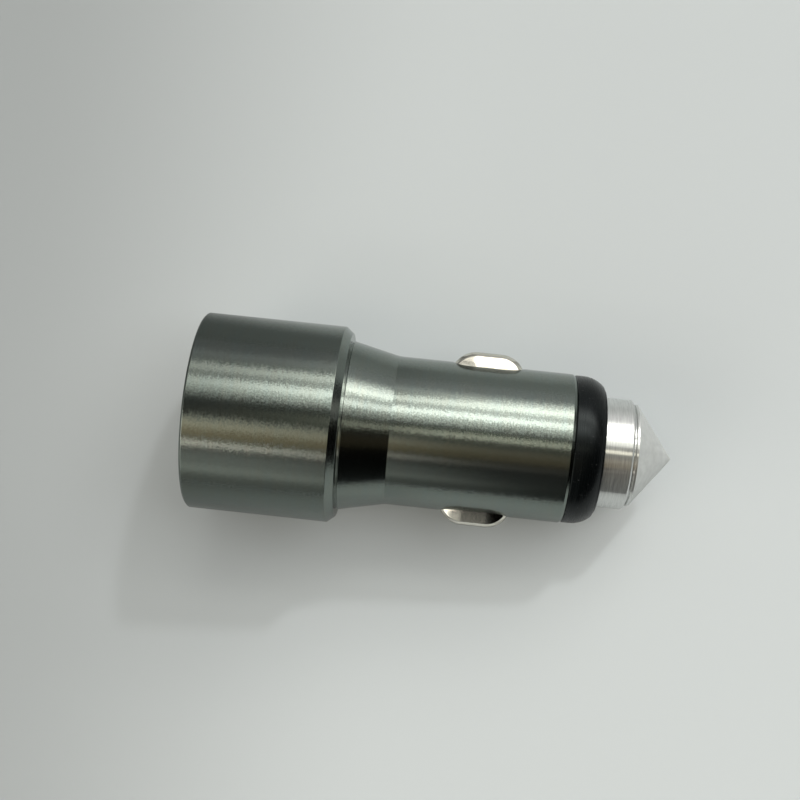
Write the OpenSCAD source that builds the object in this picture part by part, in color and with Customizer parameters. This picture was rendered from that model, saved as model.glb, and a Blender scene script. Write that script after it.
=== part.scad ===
// Car USB charger plug with a hammer tip, lying on a table as it comes to rest.
// Millimetres. The plug is drawn upright in its own turning frame, with the open
// rim of the head at z = 0 and the tip towards +z, the side contacts towards +y
// and -y and its underside towards +x. One module then lays it down.

/* [Head] */
// Outside diameter of the head
head_d = 27.5; // [27:0.1:30]
// Length of the head, from its open rim to its front face
head_len = 20.6; // [20:0.1:26]
// Bevel round the open rim
rim_bevel = 0.3; // [0.1:0.05:0.5]
// Radial size of the bevel at the front of the head
front_bevel = 0.85; // [0.4:0.05:1]
// Length of the bevel at the front of the head
front_bevel_len = 1.05; // [0.5:0.05:1.5]
// Wall of the head round the USB face
head_wall = 1.35; // [1:0.05:1.5]
// Thickness of the head's front wall, between the bore and the neck
head_front_t = 3; // [2:0.1:3.4]
// Radius of the machined edges
edge_r = 0.1; // [0.05:0.01:0.15]
// Width of the relief groove where the neck leaves the head
relief_w = 0.3; // [0.2:0.05:0.5]
// Depth of the relief groove
relief_depth = 0.2; // [0.1:0.05:0.4]

/* [Neck and barrel] */
// Diameter of the neck at the head
neck_d = 23.7; // [22.5:0.1:25]
// Length of the tapered neck
neck_len = 6.45; // [6:0.05:9]
// Radius of the blend between neck and barrel
neck_blend = 5; // [2:0.5:8]
// Outside diameter of the barrel
barrel_d = 20.8; // [20.4:0.1:21.2]
// Length of the parallel barrel
barrel_len = 24.55; // [24:0.05:28]
// Wall of the barrel
barrel_wall = 1.2; // [1:0.05:1.3]
// Radial size of the bevel at the end of the barrel
barrel_bevel = 0.22; // [0.1:0.02:0.4]
// Length of the bevel at the end of the barrel
barrel_bevel_len = 0.4; // [0.2:0.05:0.8]

/* [Side contacts] */
// Distance from the start of the barrel to the middle of the side contacts
ear_along = 12.45; // [12.2:0.05:12.7]
// Height that a side contact stands out of the barrel
ear_out = 1.6; // [0.8:0.1:2]
// Width of a side contact
ear_w = 5.6; // [5.4:0.1:6]
// Length of a side contact at the barrel
ear_len = 9.7; // [9:0.1:9.8]
// Radius of the corners of a side contact, seen from its side
ear_crown_r = 3.6; // [3.2:0.1:4]
// Length of the flat top of a side contact
ear_flat = 3.2; // [2.8:0.1:3.6]
// Radius of the corners of a side contact, seen from above
ear_plan_r = 2.2; // [1.5:0.1:2.6]
// Radius pressed along the edges of a side contact
ear_edge_r = 0.6; // [0.5:0.05:0.8]
// Thickness of the sheet of a side contact
ear_sheet = 0.4; // [0.3:0.05:0.45]
// Width that the flange of a side contact reaches past its window
ear_flange = 0.75; // [0.5:0.05:0.9]
// Gap between a side contact and its window, all round
window_gap = 0.15; // [0.1:0.05:0.25]
// Wire diameter of the side contacts' springs
spring_wire = 0.6; // [0.4:0.05:0.7]
// Outside diameter of the side contacts' springs
spring_d = 4.1; // [3.6:0.1:4.3]
// Number of turns of a spring
spring_turns = 7; // [5:1:9]

/* [Collar and tip] */
// Diameter of the plastic collar
collar_d = 20.6; // [20.2:0.1:20.8]
// Length of the collar in front of the barrel
collar_len = 4.3; // [4:0.05:5]
// Length of the collar before its front begins to round
collar_straight = 1.2; // [0.8:0.05:1.6]
// Radius of the collar's rounded front
collar_round = 4; // [3.8:0.1:4.6]
// Edge radius at the collar's front face
collar_edge = 0.3; // [0.1:0.05:0.4]
// Length of the collar's spigot inside the barrel
spigot_len = 5.6; // [5.2:0.1:5.7]
// Diameter of the pocket inside the spigot
spigot_bore_d = 12.4; // [11.6:0.1:13]
// Thickness of the web that the tip is bolted through
web_t = 3.4; // [2.6:0.1:3.6]
// Depth that the tip sits in the collar
tip_seat = 1.6; // [1:0.1:2]
// Diameter of the tip's polished cylinder
tip_d = 15.3; // [14.6:0.1:15.8]
// Length of the polished cylinder in front of the collar
tip_cyl_len = 4; // [3:0.1:6]
// Bevel of the polished cylinder
tip_bevel = 0.25; // [0.1:0.05:0.4]
// Width of the groove behind the point
tip_groove_w = 0.3; // [0.2:0.05:0.5]
// Diameter at the bottom of that groove
tip_groove_d = 13.4; // [12.8:0.1:13.8]
// Diameter at the foot of the point
point_d = 14.2; // [14:0.1:14.4]
// Width of the land at the foot of the point
point_land = 0.4; // [0.2:0.05:0.8]
// Length of the conical point from its foot to its end
point_len = 5.35; // [4.5:0.05:6]
// Radius at the very end of the point
point_r = 0.3; // [0.2:0.05:0.5]
// Diameter of the tip's threaded stud
stud_d = 4; // [3:0.5:4]

/* [USB ports] */
// Thickness of the USB face
face_t = 2; // [1.6:0.1:2.4]
// Depth of the USB face behind the rim of the head
face_sink = 0.5; // [0.2:0.1:0.8]
// Wall of the skirt behind the USB face
skirt_wall = 1; // [0.8:0.05:1.2]
// Outside width of a port's steel shell
port_w = 13.1; // [12.9:0.1:13.2]
// Outside height of a port's steel shell
port_h = 5.7; // [5.6:0.05:5.8]
// Thickness of a port's steel shell
port_sheet = 0.3; // [0.2:0.05:0.35]
// Distance between the middles of the two ports
port_pitch = 8.4; // [8.2:0.1:8.8]
// Width of the lip round a port's mouth
port_lip = 0.4; // [0.3:0.05:0.5]
// Width of a port's contact tongue
tongue_w = 11.1; // [10.9:0.05:11.2]
// Thickness of a port's contact tongue
tongue_t = 1.84; // [1.7:0.02:1.9]
// Depth of the insulating block behind a port's tongue
block_len = 5; // [4:0.1:6]
// Width of a port's contact strip
strip_w = 1; // [0.8:0.05:1.1]
// Thickness of a port's contact strip
strip_t = 0.25; // [0.2:0.01:0.3]
// Diameter of the light guide between the ports
guide_d = 1.4; // [1:0.1:1.6]

/* [Boards] */
// Thickness of the round board behind the ports
port_board_t = 1.6; // [1:0.1:1.8]
// Thickness of the main board
main_board_t = 1.2; // [1:0.1:1.6]
// Width of the main board
main_board_w = 16.4; // [15.6:0.1:16.8]
// Diameter of the coil's ferrite core
coil_d = 7.4; // [6.6:0.1:8]
// Height of the coil's ferrite core
coil_h = 6.4; // [5:0.1:6.6]
// Diameter of the capacitor cans
can_d = 6.3; // [5:0.1:6.4]
// Length of the capacitor cans
can_len = 8.6; // [6.8:0.1:9.2]
// Thickness of the capacitors' leads
lead_d = 0.5; // [0.4:0.05:0.6]
// Thickness of the pins between the boards
pin_size = 0.5; // [0.4:0.05:0.6]
// Distance from pin to pin
pin_pitch = 1.3; // [1:0.05:1.5]
// Length that the pins reach along the main board
pin_reach = 1.9; // [1.5:0.1:2]
// Width of the converter chip, across its legs
chip_w = 3.9; // [3:0.1:4.4]
// Length of the converter chip
chip_len = 4.9; // [4.4:0.1:5.2]
// Height of the converter chip
chip_h = 1.4; // [1:0.1:2]
// Reach of the chip's legs past its side
leg_reach = 1.05; // [0.8:0.05:1.3]
// Width of a chip leg
leg_size = 0.42; // [0.3:0.02:0.5]
// Distance from chip leg to chip leg
leg_pitch = 1.27; // [0.8:0.01:1.3]
// Width of the power diode
diode_w = 4.2; // [3:0.1:5]
// Length of the power diode
diode_len = 2.5; // [2:0.1:2.8]
// Height of the power diode
diode_h = 2; // [1.4:0.1:2.4]
// Width of the diode's tab, end to end
diode_tab_w = 5.2; // [5.1:0.1:6]
// Width of a small chip part
small_w = 1.25; // [0.8:0.05:1.6]
// Length of a small chip part
small_len = 2; // [1.2:0.1:2.4]
// Distance between small chip parts
small_pitch = 3.2; // [2.6:0.1:3.4]
// Height of the chip resistors
resistor_h = 0.5; // [0.3:0.05:0.8]
// Height of the chip capacitors
chip_cap_h = 1; // [0.6:0.05:1.4]

/* [Hidden] */
$fn = 96;

// Shared clearances
slide_gap = 0.05;
seat_gap = 0.02;
cut = 1;

// Head and barrel, along the turning axis
head_r = head_d / 2;
face_bore_r = head_r - head_wall;
face_bore_depth = head_len - head_front_t;
barrel_r = barrel_d / 2;
barrel_bore_r = barrel_r - barrel_wall;
neck_r = neck_d / 2;
neck_z = head_len + relief_w;
barrel_z = neck_z + neck_len;
shell_len = barrel_z + barrel_len;
neck_angle = atan((neck_r - barrel_r) / neck_len);
blend_reach = neck_blend * tan(neck_angle / 2);

// Collar and tip, along the turning axis
collar_r = collar_d / 2;
collar_front = shell_len + collar_len;
round_z = shell_len + collar_straight;
round_r = collar_r - collar_round;
collar_face_r = round_r + sqrt(pow(collar_round, 2) - pow(collar_front - round_z, 2));
collar_start_bevel = 0.15;
spigot_r = barrel_bore_r - slide_gap;
spigot_z = shell_len - spigot_len;
tip_r = tip_d / 2;
tip_z = collar_front - tip_seat;
web_z = tip_z - web_t;
tip_cyl_end = collar_front + tip_cyl_len;
point_z = tip_cyl_end + tip_groove_w + point_land;
point_end = point_z + point_len;
point_angle = atan(point_d / 2 / (point_len + point_r));
stud_r = stud_d / 2;
washer_t = 0.6;
terminal_t = 0.4;
nut_t = 2.2;
nut_flats = stud_d * 1.75;
washer_z = web_z - washer_t;
terminal_z = washer_z - terminal_t;
nut_z = terminal_z - nut_t;
stud_end = nut_z - 0.3;

// Boards, ports and carriers, along the turning axis
port_board_z = face_bore_depth - port_board_t;
port_top = face_sink;
port_len = port_board_z - port_top;
block_z = port_board_z - block_len;
tongue_start = port_top + 1.6;
tongue_shift = tongue_t / 2 + 0.05;
strip_start = tongue_start + 1.1;
strip_rows = [-3.5, -1, 1, 3.5];
board_half = main_board_t / 2;
board_start = face_bore_depth + 0.15;
board_end = spigot_z - 0.1;
pin_end = board_start + pin_reach;
part_gap = 0.2;
ear_z = barrel_z + ear_along;
flange_half_w = ear_w / 2 + window_gap + ear_flange;
flange_half_len = ear_len / 2 + window_gap + ear_flange;
flange_top = sqrt(pow(barrel_bore_r, 2) - pow(flange_half_w, 2)) - 0.03;
crown_top = barrel_r + ear_out;
crown_y = crown_top - ear_crown_r;
carrier_r = barrel_bore_r - 0.1;
carrier_play = 0.2;
carrier_start = ear_z - flange_half_len - carrier_play - 0.15;
pocket_floor = flange_top - ear_sheet - ear_out - 0.25;
carrier_floor = board_half + seat_gap;
spring_hole_r = spring_d / 2 + 0.25;
coil_z = pin_end + part_gap + coil_d / 2;
chip_z = coil_z + coil_d / 2 + part_gap + chip_len / 2;
can_z = board_start + 1.6;
can_end = can_z + can_len;
lead_r = lead_d / 2;
lead_out = 0.9;
diode_z = can_end + lead_out + lead_r + part_gap + diode_len / 2;
can_side = can_d / 2 + 0.25;
leg_w = 2.5;
leg_out = max(nut_flats / sqrt(3), stud_d) + 0.45;
leg_start = board_end - 1.6;
leg_step = board_end + 0.3;

// How the plug lies: the head's front corner and the collar or the end of the
// barrel touch the table, so the axis dips towards the tip by this angle
corner_z = head_len - front_bevel_len;
foot_r = head_r - edge_r;
foot_z = corner_z - edge_r * tan(atan2(front_bevel, front_bevel_len) / 2);
heel_z = shell_len - barrel_bevel_len - edge_r * tan(atan2(barrel_bevel, barrel_bevel_len) / 2);
collar_span = norm([round_z - foot_z, foot_r - round_r]);
collar_dip = atan2(foot_r - round_r, round_z - foot_z) - asin((collar_round - edge_r) / collar_span);
barrel_dip = atan2(head_r - barrel_r, heel_z - foot_z);
rest_tilt = min(collar_dip, barrel_dip);
lift = foot_z * sin(rest_tilt) + foot_r * cos(rest_tilt) + edge_r;
rim_r = head_r - rim_bevel - edge_r * tan(22.5);
back_x = edge_r * cos(rest_tilt) - rim_r * sin(rest_tilt) - edge_r;
front_x = (point_end - point_r) * cos(rest_tilt) + point_r;
middle_x = (back_x + front_x) / 2;

module laid() {
    translate([-middle_x, 0, lift]) rotate([0, 90 + rest_tilt, 0]) children();
}

function unit(v) = v / norm(v);

// Outline with its corners rounded: each point is [x, y, radius of its corner]
function flat(p) = [p[0], p[1]];
function arc_points(corner, back, ahead, r, steps = 4) =
    let (half = acos(back * ahead) / 2,
         middle = corner + unit(back + ahead) * r / sin(half),
         from = corner + back * r / tan(half) - middle,
         to = corner + ahead * r / tan(half) - middle,
         sweep = 180 - 2 * half)
    [for (i = [0:steps])
        middle + (sin(sweep * (1 - i / steps)) * from + sin(sweep * i / steps) * to) / sin(sweep)];
function rounded_corners(points) =
    let (n = len(points))
    [for (i = [0:n - 1])
        let (p = flat(points[i]),
             back = unit(flat(points[(i + n - 1) % n]) - p),
             ahead = unit(flat(points[(i + 1) % n]) - p))
        each points[i][2] > 0 ? arc_points(p, back, ahead, points[i][2]) : [p]];

// Side 0 is the left one, at +y, and side 1 the right one, at -y
module at_side(side) {
    rotate([0, 0, side * 180]) children();
}

// Port -1 is the upper one and port 1 the lower one
module at_port(place) {
    translate([place * port_pitch / 2, 0, 0]) children();
}

module rounded_rect(w, l, r) {
    square([w - 2 * r, l], center = true);
    square([w, l - 2 * r], center = true);
    for (i = [-1, 1], j = [-1, 1]) translate([i * (w / 2 - r), j * (l / 2 - r)]) circle(r);
}

// A block that reaches from y = 0 outwards, drawn as its outline across x and z
module outwards(height) {
    rotate([-90, 0, 0]) linear_extrude(height) children();
}

// A box placed by its middle across x and y, standing on z = 0
module post(w, d, h) {
    translate([-w / 2, -d / 2, 0]) cube([w, d, h]);
}

// One turned piece: head, tapered neck and barrel
module shell_outline() {
    difference() {
        polygon(rounded_corners([
            [0, 0, 0], [head_r - rim_bevel, 0, edge_r], [head_r, rim_bevel, edge_r],
            [head_r, corner_z, edge_r], [head_r - front_bevel, head_len, edge_r],
            [neck_r - relief_depth, head_len, 0], [neck_r - relief_depth, neck_z, 0],
            [neck_r, neck_z, edge_r],
            [barrel_r + blend_reach * sin(neck_angle), barrel_z - blend_reach * cos(neck_angle), 0],
            [barrel_r, barrel_z + blend_reach, 0], [barrel_r, shell_len - barrel_bevel_len, edge_r],
            [barrel_r - barrel_bevel, shell_len, edge_r], [0, shell_len, 0]
        ]));
        translate([barrel_r + neck_blend, barrel_z + blend_reach]) circle(neck_blend);
        translate([-cut, -cut]) square([face_bore_r + cut, face_bore_depth + cut]);
        translate([-cut, 0]) square([barrel_bore_r + cut, shell_len + cut]);
    }
}

module body_shell() {
    color([0.36, 0.39, 0.38]) laid() difference() {
        rotate_extrude() shell_outline();
        for (side = [0, 1]) at_side(side) translate([0, barrel_bore_r / 2, ear_z]) outwards(head_r)
            rounded_rect(ear_w + 2 * window_gap, ear_len + 2 * window_gap, ear_plan_r + window_gap);
    }
}

// Moulded face of the head: a disc with two mouths, and a skirt down to the board
module face_plate() {
    face_r = face_bore_r - slide_gap;
    mouth_w = port_w + 2 * slide_gap;
    mouth_h = port_h + 2 * slide_gap;
    lip_w = port_w + 2 * (port_lip + seat_gap);
    lip_h = port_h + 2 * (port_lip + seat_gap);
    color([0.06, 0.06, 0.07]) laid() difference() {
        rotate_extrude() polygon([
            [0, face_sink], [face_r - 0.3, face_sink], [face_r, face_sink + 0.3],
            [face_r, port_board_z - seat_gap], [face_r - skirt_wall, port_board_z - seat_gap],
            [face_r - skirt_wall, face_sink + face_t], [0, face_sink + face_t]
        ]);
        for (place = [-1, 1]) at_port(place) {
            translate([0, 0, -cut]) post(mouth_h, mouth_w, port_board_z + 2 * cut);
            translate([0, 0, -cut]) post(lip_h, lip_w, face_sink + port_sheet + seat_gap + cut);
        }
        cylinder(d = guide_d + 2 * slide_gap, h = face_sink + face_t + cut);
    }
}

// Two cuts that free a spring tongue in the wide wall of a port's shell
module tongue_slots() {
    tongue_l = 5.5;
    slot = 0.3;
    wide = 2;
    for (row = [-1, 1], face = [-1, 1]) {
        translate([face * (port_h / 2 - port_sheet / 2), row * 3.2, port_top + 2.4]) {
            for (edge = [-1, 1]) translate([0, edge * wide / 2, 0]) post(cut, slot, tongue_l);
            post(cut, wide, slot);
        }
    }
}

// Folded steel shell of a port, with a lip that sits in the face
module port_shell(place) {
    color([0.78, 0.78, 0.76]) laid() at_port(place) difference() {
        union() {
            translate([0, 0, port_top]) post(port_h, port_w, port_len - seat_gap);
            translate([0, 0, port_top]) post(port_h + 2 * port_lip, port_w + 2 * port_lip, port_sheet);
        }
        translate([0, 0, port_top - cut])
            post(port_h - 2 * port_sheet, port_w - 2 * port_sheet, port_len + 2 * cut);
        tongue_slots();
    }
}

// The four flat strips of a port, from the tongue through the block to the board
module port_strips(gap) {
    for (row = strip_rows)
        translate([-strip_t / 2 + 0.15, row, strip_start - gap])
            post(strip_t + 2 * gap, strip_w + 2 * gap, face_bore_depth - strip_start + 2 * gap);
}

// Insulating block with the contact tongue of a port
module port_tongue(place) {
    inside_h = port_h - 2 * port_sheet - 2 * slide_gap;
    inside_w = port_w - 2 * port_sheet - 2 * slide_gap;
    color([0.93, 0.93, 0.9]) laid() at_port(place) difference() {
        union() {
            translate([-tongue_shift, 0, tongue_start])
                post(tongue_t, tongue_w, block_z - tongue_start + 0.1);
            translate([0, 0, block_z]) post(inside_h, inside_w, block_len - seat_gap);
        }
        port_strips(seat_gap);
    }
}

module port_contacts(place) {
    color([0.85, 0.68, 0.3]) laid() at_port(place) port_strips(0);
}

module light_guide() {
    color([0.9, 0.93, 0.95, 0.6]) laid()
        translate([0, 0, face_sink]) cylinder(d = guide_d, h = port_board_z - 0.9 - face_sink);
}

// Surface-mounted lamp under the light guide
module indicator_led() {
    color([0.95, 0.9, 0.6]) laid() translate([0, 0, port_board_z - 0.85]) {
        post(2, 1.25, 0.83);
    }
}

module port_board() {
    color([0.1, 0.35, 0.2]) laid() difference() {
        translate([0, 0, port_board_z]) cylinder(r = face_bore_r - 0.15, h = port_board_t - seat_gap);
        for (place = [-1, 1]) at_port(place) port_strips(slide_gap);
        header_pins(slide_gap);
    }
}

// Straight pins that carry the round board on the main board
module header_pins(gap) {
    for (i = [-1.5:1:1.5])
        translate([i * pin_pitch, board_half + pin_size / 2 + seat_gap, port_board_z - gap])
            post(pin_size + 2 * gap, pin_size + 2 * gap, pin_end - port_board_z + gap);
}

module board_pins() {
    color([0.83, 0.7, 0.35]) laid() header_pins(0);
}

module main_board() {
    color([0.1, 0.35, 0.2]) laid() translate([0, 0, board_start])
        post(main_board_w, main_board_t, board_end - board_start);
}

// Drum core of the coil, its axis standing on the board
module inductor_core() {
    flange = 0.9;
    color([0.22, 0.22, 0.23]) laid() translate([0, board_half + seat_gap, coil_z]) rotate([-90, 0, 0]) {
        cylinder(d = coil_d, h = flange);
        cylinder(d = coil_d * 0.42, h = coil_h);
        translate([0, 0, coil_h - flange]) cylinder(d = coil_d, h = flange);
    }
}

// Enamelled wire on the drum, its outer layer drawn turn by turn
module inductor_winding() {
    flange = 0.9;
    inner = coil_d * 0.21 + seat_gap;
    outer = coil_d * 0.42;
    height = coil_h - 2 * flange - 2 * seat_gap;
    turns = 8;
    wire = height / turns;
    color([0.72, 0.38, 0.16]) laid()
        translate([0, board_half + seat_gap + flange + seat_gap, coil_z]) rotate([-90, 0, 0])
        rotate_extrude() {
            translate([inner, 0]) square([outer - inner, height]);
            for (i = [0:turns - 1]) translate([outer, (i + 0.5) * wire]) circle(d = wire, $fn = 16);
        }
}

// Capacitor can lying on the board, with its two leads bent down to the board
module capacitor(place) {
    groove = 0.3;
    deep = can_d / 2 + board_half + slide_gap;
    translate([place * can_side, -deep, can_z]) {
        rotate_extrude() difference() {
            square([can_d / 2, can_len]);
            translate([can_d / 2 + 0.1, can_len - 1.4]) circle(groove, $fn = 24);
        }
        for (lead = [-1, 1]) translate([lead * can_d * 0.2, 0, can_len - cut]) {
            cylinder(r = lead_r, h = lead_out + cut, $fn = 24);
            translate([0, 0, lead_out + cut]) sphere(lead_r, $fn = 24);
            translate([0, 0, lead_out + cut]) rotate([-90, 0, 0])
                cylinder(r = lead_r, h = deep - board_half - seat_gap, $fn = 24);
        }
    }
}

module input_capacitor() {
    color([0.1, 0.12, 0.2]) laid() capacitor(1);
}

module output_capacitor() {
    color([0.1, 0.12, 0.2]) laid() capacitor(-1);
}

// Moulded chip with four bent legs along each long side
module controller_chip() {
    root = 0.2;
    sheet = 0.2;
    knee = chip_h / 2;
    foot = leg_reach + root;
    color([0.08, 0.08, 0.09]) laid() translate([0, board_half + seat_gap, chip_z]) {
        translate([-chip_w / 2, 0.1, -chip_len / 2]) cube([chip_w, chip_h, chip_len]);
        for (i = [-1.5:1:1.5], hand = [0, 1]) mirror([hand, 0, 0])
            translate([chip_w / 2 - root, 0, i * leg_pitch]) linear_extrude(leg_size, center = true)
            polygon([
                [0, knee], [0, knee + sheet], [foot * 0.4, knee + sheet], [foot * 0.64, sheet],
                [foot, sheet], [foot, 0], [foot * 0.5, 0], [foot * 0.28, knee]
            ]);
    }
}

// Power diode on the other face of the board
module rectifier_diode() {
    tab = [diode_tab_w, 0.25, diode_len * 0.6];
    color([0.08, 0.08, 0.09]) laid() translate([0, -board_half - seat_gap, diode_z]) {
        translate([-diode_w / 2, -diode_h - 0.1, -diode_len / 2]) cube([diode_w, diode_h, diode_len]);
        translate([-tab[0] / 2, -tab[1], -tab[2] / 2]) cube(tab);
    }
}

module chip_row(side, height) {
    row_x = side * (coil_d / 2 + 0.75 + small_w) - small_w / 2;
    for (i = [-1:1]) translate([row_x, board_half + seat_gap, coil_z + i * small_pitch - small_len / 2])
        cube([small_w, height, small_len]);
}

module chip_resistors() {
    color([0.12, 0.12, 0.13]) laid() chip_row(-1, resistor_h);
}

module chip_capacitors() {
    color([0.6, 0.48, 0.32]) laid() chip_row(1, chip_cap_h);
}

// Half of the moulded carrier that clamps the main board and guides one ear
module carrier(side) {
    laid() at_side(side) difference() {
        translate([0, 0, carrier_start]) cylinder(r = carrier_r, h = board_end - carrier_start);
        translate([-head_r, -2 * head_r + carrier_floor, carrier_start - cut])
            cube([2 * head_r, 2 * head_r, board_end - carrier_start + 2 * cut]);
        translate([0, pocket_floor, ear_z]) outwards(head_r)
            rounded_rect(2 * (flange_half_w + carrier_play), 2 * (flange_half_len + carrier_play), 1.2);
        translate([0, 0, ear_z]) rotate([-90, 0, 0]) cylinder(r = spring_hole_r, h = head_r);
        if (side == 0) translate([0, 0, leg_start - 0.2])
            post(leg_w + 0.4, 2 * (board_half + terminal_t + 0.3), board_end - leg_start + cut);
    }
}

module carrier_left() {
    color([0.85, 0.85, 0.82]) carrier(0);
}

module carrier_right() {
    color([0.85, 0.85, 0.82]) carrier(1);
}

// Half section of an ear's crown: distance from its axis, then along that axis
module crown_section(r, w, e) {
    translate([0, -w / 2]) square([r - e, w]);
    translate([0, -w / 2 + e]) square([r, w - 2 * e]);
    for (i = [-1, 1]) translate([r - e, i * (w / 2 - e)]) circle(e, $fn = 48);
}

// Pressed crown of an ear: rounded seen from the side, and from above
module crown(inset) {
    r = ear_crown_r - inset;
    w = ear_w - 2 * inset;
    e = max(ear_edge_r - inset, 0.1);
    intersection() {
        translate([0, crown_y, 0]) {
            for (end = [-1, 1]) translate([0, 0, end * ear_flat / 2])
                rotate([0, 90, 0]) rotate_extrude() crown_section(r, w, e);
            linear_extrude(ear_flat, center = true) rotate(90) crown_section(r, w, e);
        }
        translate([0, flange_top - ear_sheet, 0]) outwards(head_r)
            rounded_rect(w, ear_len - 2 * inset, ear_plan_r - inset);
    }
}

// Drawn sheet ear with the flange that stops it behind its window
module ear(side) {
    laid() at_side(side) translate([0, 0, ear_z]) difference() {
        union() {
            crown(0);
            translate([0, flange_top - ear_sheet, 0]) outwards(ear_sheet)
                rounded_rect(2 * flange_half_w, 2 * flange_half_len, 1);
        }
        crown(ear_sheet);
    }
}

module ear_left() {
    color([0.86, 0.84, 0.78]) ear(0);
}

module ear_right() {
    color([0.86, 0.84, 0.78]) ear(1);
}

// Round wire along a row of points; a ring of sides at each, with flat ends
function wire_ring(c, out, up, r, sides) =
    [for (k = [0:sides - 1]) c + r * (cos(360 * k / sides) * out + sin(360 * k / sides) * up)];

// Compression spring along +y whose end turns lie flat, from y = low to y = high
module spring(low, high) {
    wire_r = spring_wire / 2;
    coil_r = spring_d / 2 - wire_r;
    steps = 12;
    sides = 6;
    count = spring_turns * steps;
    rise = high - low - 2 * wire_r - 2 * seat_gap;
    free_turns = spring_turns - 1.6;
    points = [for (i = [0:count])
        let (turn = i / steps, share = min(max((turn - 0.8) / free_turns, 0), 1))
        each wire_ring(
            [coil_r * cos(360 * turn), low + wire_r + seat_gap + share * rise, coil_r * sin(360 * turn)],
            [cos(360 * turn), 0, sin(360 * turn)], [0, 1, 0], wire_r, sides)];
    faces = concat(
        [[for (k = [0:sides - 1]) k]],
        [for (i = [0:count - 1], k = [0:sides - 1])
            [i * sides + k, (i + 1) * sides + k,
             (i + 1) * sides + (k + 1) % sides, i * sides + (k + 1) % sides]],
        [[for (k = [sides - 1:-1:0]) count * sides + k]]);
    polyhedron(points = points, faces = faces, convexity = 10);
}

module ear_spring(side) {
    color([0.7, 0.7, 0.72]) laid() at_side(side) translate([0, 0, ear_z])
        spring(board_half, crown_top - ear_sheet);
}

module ear_spring_left() {
    ear_spring(0);
}

module ear_spring_right() {
    ear_spring(1);
}

// Insulating collar: a rounded nose with a spigot in the barrel
module nose_collar() {
    edge_back = collar_front - collar_edge;
    color([0.05, 0.05, 0.055]) laid() rotate_extrude() difference() {
        union() {
            translate([0, spigot_z]) square([spigot_r, spigot_len + cut]);
            polygon([
                [0, shell_len + seat_gap], [collar_r - collar_start_bevel, shell_len + seat_gap],
                [collar_r, shell_len + seat_gap + collar_start_bevel], [collar_r, round_z], [0, round_z]
            ]);
            intersection() {
                translate([round_r, round_z]) circle(collar_round);
                translate([0, round_z - cut]) square([head_r, collar_front - round_z + cut]);
            }
            translate([0, round_z - cut]) square([round_r + 0.1, collar_front - round_z + cut]);
        }
        difference() {
            translate([collar_face_r - collar_edge, edge_back]) square([head_r, collar_edge + cut]);
            translate([collar_face_r - collar_edge, edge_back]) circle(collar_edge, $fn = 48);
        }
        translate([-cut, tip_z]) square([tip_r + slide_gap + cut, collar_front]);
        translate([-cut, 0]) square([stud_r + 0.1 + cut, collar_front]);
        translate([-cut, 0]) square([spigot_bore_d / 2 + cut, web_z]);
    }
}

// One turned piece: stud, polished cylinder, groove and hard point
module hammer_tip() {
    point_back = point_end - point_r;
    tangent_z = point_back + point_r * sin(point_angle);
    tangent_r = point_r * cos(point_angle);
    color([0.86, 0.87, 0.87]) laid() rotate_extrude() {
        polygon(rounded_corners([
            [0, stud_end, 0], [stud_r - 0.4, stud_end, 0], [stud_r, stud_end + 0.4, 0],
            [stud_r, tip_z + seat_gap, 0], [tip_r, tip_z + seat_gap, 0],
            [tip_r, tip_cyl_end - tip_bevel, edge_r], [tip_r - tip_bevel, tip_cyl_end, edge_r],
            [tip_groove_d / 2, tip_cyl_end, 0], [tip_groove_d / 2, tip_cyl_end + tip_groove_w, 0],
            [point_d / 2, tip_cyl_end + tip_groove_w, edge_r], [point_d / 2, point_z, edge_r],
            [tangent_r, tangent_z, 0], [0, tangent_z, 0]
        ]));
        intersection() {
            translate([0, point_back]) circle(point_r, $fn = 48);
            translate([0, tangent_z - 0.01]) square([point_r, point_r]);
        }
    }
}

module tip_washer() {
    color([0.75, 0.76, 0.77]) laid() translate([0, 0, washer_z]) difference() {
        cylinder(r = stud_r * 2.1, h = washer_t - seat_gap);
        translate([0, 0, -cut]) cylinder(r = stud_r + 0.1, h = washer_t + 2 * cut);
    }
}

// Ring tag under the nut, folded back to the main board as one strip
module centre_terminal() {
    foot_y = board_half + seat_gap;
    ring_r = stud_r * 1.95;
    color([0.8, 0.7, 0.4]) laid() difference() {
        union() {
            translate([0, 0, terminal_z]) cylinder(r = ring_r, h = terminal_t - seat_gap);
            translate([-leg_w / 2, 0, 0]) {
                translate([0, 0, terminal_z]) cube([leg_w, leg_out + terminal_t, terminal_t - seat_gap]);
                translate([0, leg_out, leg_step]) cube([leg_w, terminal_t, terminal_z - leg_step + 0.1]);
                translate([0, foot_y, leg_step]) cube([leg_w, leg_out - foot_y + terminal_t, terminal_t]);
                translate([0, foot_y, leg_start]) cube([leg_w, terminal_t, leg_step - leg_start + 0.1]);
            }
        }
        translate([0, 0, terminal_z - cut]) cylinder(r = stud_r + 0.1, h = 2 * cut);
    }
}

module tip_nut() {
    color([0.75, 0.76, 0.77]) laid() translate([0, 0, nut_z]) difference() {
        cylinder(d = nut_flats / cos(30), h = nut_t - seat_gap, $fn = 6);
        translate([0, 0, -cut]) cylinder(r = stud_r + seat_gap, h = nut_t + 2 * cut);
    }
}

body_shell();
face_plate();
port_shell(-1);  // port_shell_upper
port_shell(1);  // port_shell_lower
port_tongue(-1);  // port_tongue_upper
port_tongue(1);  // port_tongue_lower
port_contacts(-1);  // port_contacts_upper
port_contacts(1);  // port_contacts_lower
light_guide();
indicator_led();
port_board();
board_pins();
main_board();
inductor_core();
inductor_winding();
input_capacitor();
output_capacitor();
controller_chip();
rectifier_diode();
chip_resistors();
chip_capacitors();
carrier_left();
carrier_right();
ear_left();
ear_right();
ear_spring_left();
ear_spring_right();
nose_collar();
hammer_tip();
tip_washer();
centre_terminal();
tip_nut();
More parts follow.
